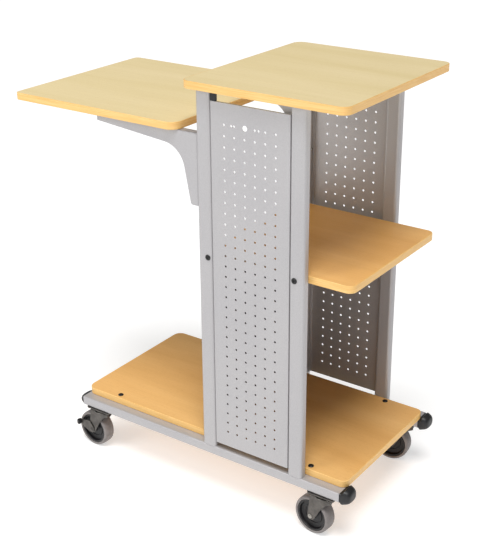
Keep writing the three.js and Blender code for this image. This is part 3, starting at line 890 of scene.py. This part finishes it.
def tyre_mesh():
    """A soft tyre with a lip over the hub, rounded shoulders and a slightly crowned tread."""
    inside, tread, side = HUB_RADIUS + 0.6 * MM, WHEEL_RADIUS, WHEEL_HALF
    half = [
        (inside, side - 2.8 * MM),
        (inside, side - 1.0 * MM),
        (inside + 0.9 * MM, side - 0.2 * MM),
        (inside + 2.2 * MM, side),
        (tread - 4.2 * MM, side - 0.3 * MM),
        (tread - 2.4 * MM, side - 1.2 * MM),
        (tread - 1.2 * MM, side - 2.9 * MM),
        (tread - 0.5 * MM, side - 5.4 * MM),
        (tread - 0.1 * MM, side * 0.4),
        (tread, 0.3 * MM),
    ]
    return lathe(mirrored_profile(half), 96, closed=True)


def hub_mesh():
    """A dished centre: bearing boss, sunk web with a raised ring, and a stepped rim."""
    rim = WHEEL_HALF - 1.9 * MM
    half = [
        (AXLE_RADIUS + 0.3 * MM, FORK_INSIDE - 1 * MM),
        (8.8 * MM, FORK_INSIDE - 1 * MM),
        (9.6 * MM, FORK_INSIDE - 1.8 * MM),
        (10.6 * MM, 8.0 * MM),
        (12.0 * MM, 6.8 * MM),
        (24.0 * MM, 6.0 * MM),
        (24.7 * MM, 7.6 * MM),
        (26.6 * MM, 7.6 * MM),
        (27.3 * MM, 6.0 * MM),
        (34.4 * MM, 6.6 * MM),
        (36.4 * MM, 7.8 * MM),
        (37.8 * MM, rim - 0.9 * MM),
        (38.6 * MM, rim),
        (42.0 * MM, rim),
        (42.7 * MM, rim - 0.9 * MM),
    ]
    return lathe(mirrored_profile(half), 96, closed=True)


def fork_meshes(top):
    """A pressed fork: two tapered legs, a bent yoke and the lower half of the swivel race."""
    outside = FORK_INSIDE + FORK_SHEET
    bend = 5 * MM
    under = top - bend
    back = -TRAIL - 1 * MM
    leg = rounded_outline(
        [
            (FORK_FRONT, under),
            (back, under),
            (-TRAIL - EYE - 1 * MM, WHEEL_RADIUS - EYE, EYE),
            (-TRAIL + EYE, WHEEL_RADIUS - EYE, EYE),
            (0, WHEEL_RADIUS + 30 * MM, 30 * MM),
            (FORK_FRONT / 2, top - 16 * MM, 20 * MM),
            (FORK_FRONT, top - 8 * MM),
        ],
        8,
    )
    bore = circle_loop(AXLE_RADIUS + 0.4 * MM, -TRAIL, WHEEL_RADIUS, 24)
    shapes = []
    for side in (-1, 1):
        y = side * (FORK_INSIDE + FORK_SHEET / 2)
        shapes.append(moved(plate(leg, FORK_SHEET, 0.7 * MM, [bore]), STAND_XZ, shift(y=y)))
    outer = bend_arc((bend - outside, -bend), bend, 180, 90)
    outer += bend_arc((outside - bend, -bend), bend, 90, 0)
    shrink = (bend - FORK_SHEET) / bend
    inner = []
    for y, z in outer:
        centre_y = math.copysign(outside - bend, y)
        inner.append((centre_y + (y - centre_y) * shrink, -bend + (z + bend) * shrink))
    profile = outer + inner[::-1]
    yoke = moved(skin([level(profile, 0), level(profile, FORK_FRONT - back)]), STAND_YZ)
    shapes.append(moved(yoke, shift(back, 0, top)))
    race = [
        (0, -6 * MM),
        (25.5 * MM, -6 * MM),
        (27.0 * MM, -5.0 * MM),
        (27.0 * MM, -1.6 * MM),
        (26.0 * MM, -0.4 * MM),
        (24.6 * MM, 0),
        (0, 0),
    ]
    shapes.append(moved(lathe(race, 64), shift(z=top)))
    return shapes


def axle_meshes(upper, lower):
    """A riveted axle between its two ends along Z, with a domed head and a washer on each."""
    shapes = [lathe([(0, -lower), (AXLE_RADIUS, -lower), (AXLE_RADIUS, upper), (0, upper)], 24)]
    head = [
        (0, 1.9 * MM),
        (2.0 * MM, 1.7 * MM),
        (3.6 * MM, 1.0 * MM),
        (AXLE_HEAD - 1.6 * MM, 0.5 * MM),
        (AXLE_HEAD, 0.4 * MM),
        (AXLE_HEAD, 0),
        (0, 0),
    ]
    for reach, turn in ((upper, 0), (lower, math.pi)):
        shape = moved(lathe(head, 32), shift(z=reach), Matrix.Rotation(turn, 4, "X"))
        shapes.append(shape)
    return shapes


def brake_arm():
    """The pressed arm of a foot lever, outside the fork's leg on -Y."""
    x, z, height = PEDAL["x"], PEDAL["z"], PEDAL["height"]
    arm = rounded_outline(
        [
            (-TRAIL + EYE, WHEEL_RADIUS - EYE, 8.5 * MM),
            (-TRAIL - EYE, WHEEL_RADIUS - EYE, 8.5 * MM),
            (x, z - height / 2 + 1 * MM, 3 * MM),
            (x, z + height / 2 - 1 * MM, 3 * MM),
            (-TRAIL - 6 * MM, z + 14 * MM, 9 * MM),
            (-TRAIL + EYE, WHEEL_RADIUS + EYE, 8.5 * MM),
        ],
        8,
    )
    bore = circle_loop(AXLE_RADIUS + 0.4 * MM, -TRAIL, WHEEL_RADIUS, 24)
    web = plate(arm, LEVER_SHEET, 0.6 * MM, [bore])
    return moved(web, STAND_XZ, shift(y=-BESIDE_FORK - LEVER_SHEET / 2))


def brake_pedal():
    """The moulded toe tab at the end of the arm, with three ridges along its top."""
    x, z = PEDAL["x"], PEDAL["z"]
    section = rounded_loop(PEDAL["length"], PEDAL["height"], 2.5 * MM, 6)
    outside = BESIDE_FORK + LEVER_SHEET + PEDAL["width"]
    sections = ((0.75, -outside), (1, -outside + 1.4 * MM), (1, -BESIDE_FORK), (0.9, -BESIDE_FORK))
    loops = [[(x + px * size, y, z + pz * size) for px, pz in section] for size, y in sections]
    shapes = [skin(loops)]
    ridge = rounded_loop(1.3 * MM, PEDAL["width"] - 3 * MM, 0.6 * MM, 3)
    top = z + PEDAL["height"] / 2
    for step in (-1, 0, 1):
        bar = skin([level(ridge, top - 1 * MM), level(ridge, top + 0.5 * MM)])
        shapes.append(moved(bar, shift(x + step * 2.3 * MM, -outside + PEDAL["width"] / 2)))
    return shapes


def swivel_plate_meshes(node):
    """The plate bolted under a rail, its ball race and its four nuts."""
    low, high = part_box(node)
    middle = (low + high) / 2
    width, depth = high.x - low.x, high.y - low.y
    outline = rounded_loop(width, depth, PLATE_CORNER, 6)
    top = moved(plate(outline, PLATE_SHEET, 0.6 * MM), shift(z=high.z - PLATE_SHEET / 2))
    race = [
        (0, low.z),
        (22.4 * MM, low.z),
        (24 * MM, low.z + 1.6 * MM),
        (24 * MM, low.z + 3.4 * MM),
        (21.4 * MM, high.z - 2.6 * MM),
        (0, high.z - 2.6 * MM),
    ]
    shapes = [top, lathe(race, 64)]
    for x in (-1, 1):
        for y in (-1, 1):
            nut = hex_nut(8 * MM, 3.4 * MM, 2 * MM)
            across = x * (width / 2 - PLATE_NUT_INSET)
            along = y * (depth / 2 - PLATE_NUT_INSET)
            shapes.append(moved(nut, shift(across, along, high.z - PLATE_SHEET)))
    return [moved(shape, shift(middle.x, middle.y)) for shape in shapes]


def add_caster(name):
    """One caster drawn along X, turned to the angle of its own spin joint."""
    swivel = joints[f"swivel_{name}"]
    spin = joints[f"spin_{name}"]
    yaw = math.atan2(-spin["axis"][0], spin["axis"][1])
    place = shift(swivel["pos_m"][0], swivel["pos_m"][1]) @ Matrix.Rotation(yaw, 4, "Z")
    braked = f"brake_lever_{name}" in nodes
    outward = Matrix.Scale(-side_of(name), 4, (0, 1, 0))  # draws -Y as the outer side

    top = swivel_plate_meshes(f"caster_plate_{name}")
    add_piece(f"swivel_plate_{name}", top, "dark_steel", stands_for=[f"caster_plate_{name}"])
    body = f"caster_{name}"
    fork_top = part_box(f"caster_fork_{name}")[1].z
    fork = [moved(shape, place) for shape in fork_meshes(fork_top)]
    add_piece(f"fork_{name}", fork, "dark_steel", body, [f"caster_fork_{name}"])
    outer_reach = BESIDE_FORK + (LEVER_SHEET + LEVER_GAP if braked else 0)
    ends = (outer_reach, BESIDE_FORK) if side_of(name) < 0 else (BESIDE_FORK, outer_reach)
    axle = [wheel_to_place(shape, place) for shape in axle_meshes(*ends)]
    finish = "dark_steel" if braked else None  # no bright head shows beside a brake lever
    add_piece(f"axle_{name}", axle, "bright_steel", body, [f"caster_axle_{name}"], finish)
    wheel = f"wheel_{name}"
    tyre = wheel_to_place(tyre_mesh(), place)
    add_piece(f"tyre_{name}", [tyre], "grey_rubber", wheel, [f"wheel_tyre_{name}"])
    hub = wheel_to_place(hub_mesh(), place)
    add_piece(f"hub_{name}", [hub], "hub_plastic", wheel, [f"wheel_hub_{name}"])
    if braked:
        lever = [f"brake_lever_{name}"]
        arm = moved(brake_arm(), outward, place)
        add_piece(f"brake_arm_{name}", [arm], "dark_steel", f"brake_{name}", lever)
        tab = [moved(shape, outward, place) for shape in brake_pedal()]
        add_piece(f"brake_pedal_{name}", tab, "black_plastic", f"brake_{name}", lever)


# ---- build ----------------------------------------------------------------

add_camera()
add_studio()
for board_name in CORNERS:
    add_board(board_name)
add_posts()
add_rails()
add_rail_caps()
add_panels()
add_side_brackets()
add_gussets()
add_panel_catches()
add_side_panel()
add_fasteners()
for end_name in ENDS:
    add_caster(end_name)
